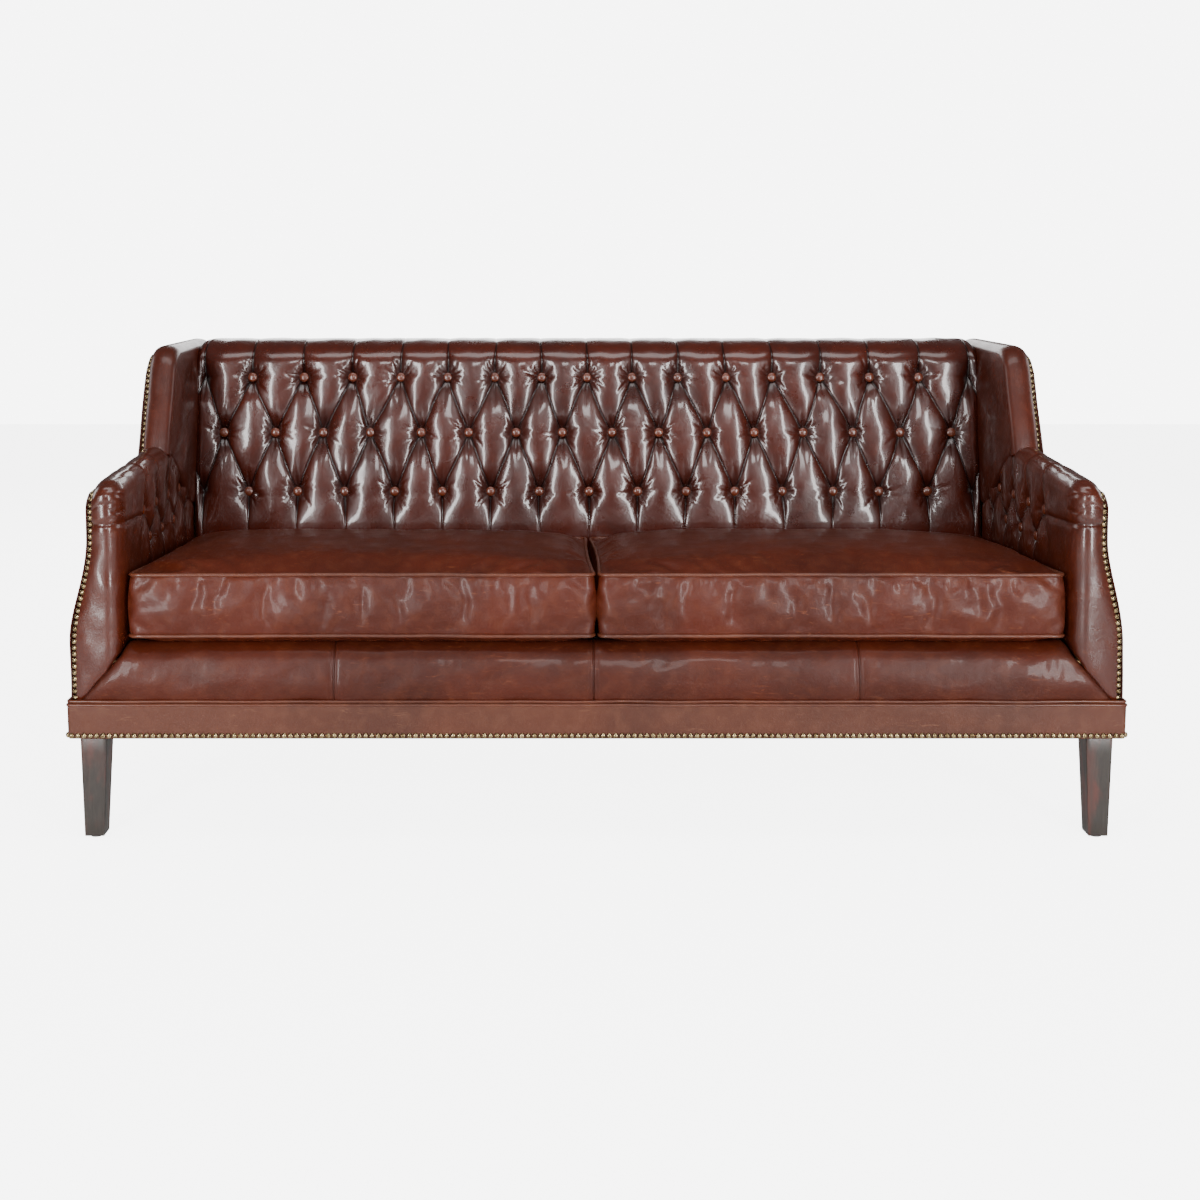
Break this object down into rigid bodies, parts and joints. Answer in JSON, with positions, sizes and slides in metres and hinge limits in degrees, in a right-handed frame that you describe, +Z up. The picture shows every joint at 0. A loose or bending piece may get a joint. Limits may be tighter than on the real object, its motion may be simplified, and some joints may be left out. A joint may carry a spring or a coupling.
{
  "type": "chesterfield sofa",
  "caption": "Low-winged chesterfield sofa in glossy aged brown leather: deep-buttoned back and arms, loose seat cushions, nail-trimmed base band and square tapered legs.",
  "frame": {"origin": "centre of the sofa's bounding box on the floor", "axes": "+X to the right along the sofa as seen from the front, +Y to the back, +Z up; the front faces -Y"},
  "size_m": [2, 0.83, 0.918],
  "materials": {
    "cushion_foam": "foam",
    "dark_stained_wood": "dark satin stain, rubbed through",
    "decking_felt": "felt under cotton decking",
    "dust_cloth": "non-woven black cloth",
    "frame_hardwood": "sawn hardwood",
    "jute_webbing": "woven jute",
    "leather_band": "glossy aged leather",
    "leather_button": "glossy aged leather",
    "leather_dark": "glossy aged leather",
    "leather_welt": "glossy aged leather",
    "leather_worn": "glossy aged leather",
    "lining_board": "hardboard",
    "steel_fixing": "zinc plated",
    "steel_glide": "nickel plated",
    "steel_spring": "zinc plated"
  },
  "bodies": {
    "frame": {"back_buttons": "leather_button", "back_lower_rail": "frame_hardwood", "back_pad": "leather_dark", "back_top_rail": "frame_hardwood", "back_uprights": "frame_hardwood", "back_webbing": "jute_webbing", "base_band_front": "leather_band", "base_band_left": "leather_band", "base_band_rear": "leather_band", "base_band_right": "leather_band", "base_welt": "leather_welt", "centre_seat_brace": "frame_hardwood", "corner_blocks": "frame_hardwood", "dust_cover": "dust_cloth", "front_seat_rail": "frame_hardwood", "left_arm_buttons": "leather_button", "left_arm_facing": "leather_worn", "left_arm_lining": "lining_board", "left_arm_pad": "leather_dark", "left_arm_rail": "frame_hardwood", "left_back_post": "frame_hardwood", "left_front_leg": "dark_stained_wood", "left_front_post": "frame_hardwood", "left_outside_arm_panel": "leather_dark", "left_rear_leg": "dark_stained_wood", "left_seat_rail": "frame_hardwood", "left_wing_board": "frame_hardwood", "left_wing_pad": "leather_dark", "leg_bolts": "steel_fixing", "leg_glides": "steel_glide", "outside_back_panel": "leather_dark", "rear_seat_rail": "frame_hardwood", "right_arm_buttons": "leather_button", "right_arm_facing": "leather_worn", "right_arm_lining": "lining_board", "right_arm_pad": "leather_dark", "right_arm_rail": "frame_hardwood", "right_back_post": "frame_hardwood", "right_front_leg": "dark_stained_wood", "right_front_post": "frame_hardwood", "right_outside_arm_panel": "leather_dark", "right_rear_leg": "dark_stained_wood", "right_seat_rail": "frame_hardwood", "right_wing_board": "frame_hardwood", "right_wing_pad": "leather_dark", "seat_decking": "decking_felt", "seat_front_border": "leather_worn", "seat_springs": "steel_spring", "spring_clips": "steel_fixing"},
    "left_cushion": {"left_cushion_cover": "leather_worn", "left_cushion_core": "cushion_foam"},
    "right_cushion": {"right_cushion_cover": "leather_worn", "right_cushion_core": "cushion_foam"}
  },
  "joints": [
    {"name": "left_cushion_lift", "type": "slide", "parent": "frame", "child": "left_cushion", "axis": [0, 0, 1], "range_m": [0, 0.55]},
    {"name": "right_cushion_lift", "type": "slide", "parent": "frame", "child": "right_cushion", "axis": [0, 0, 1], "range_m": [0, 0.55]}
  ]
}
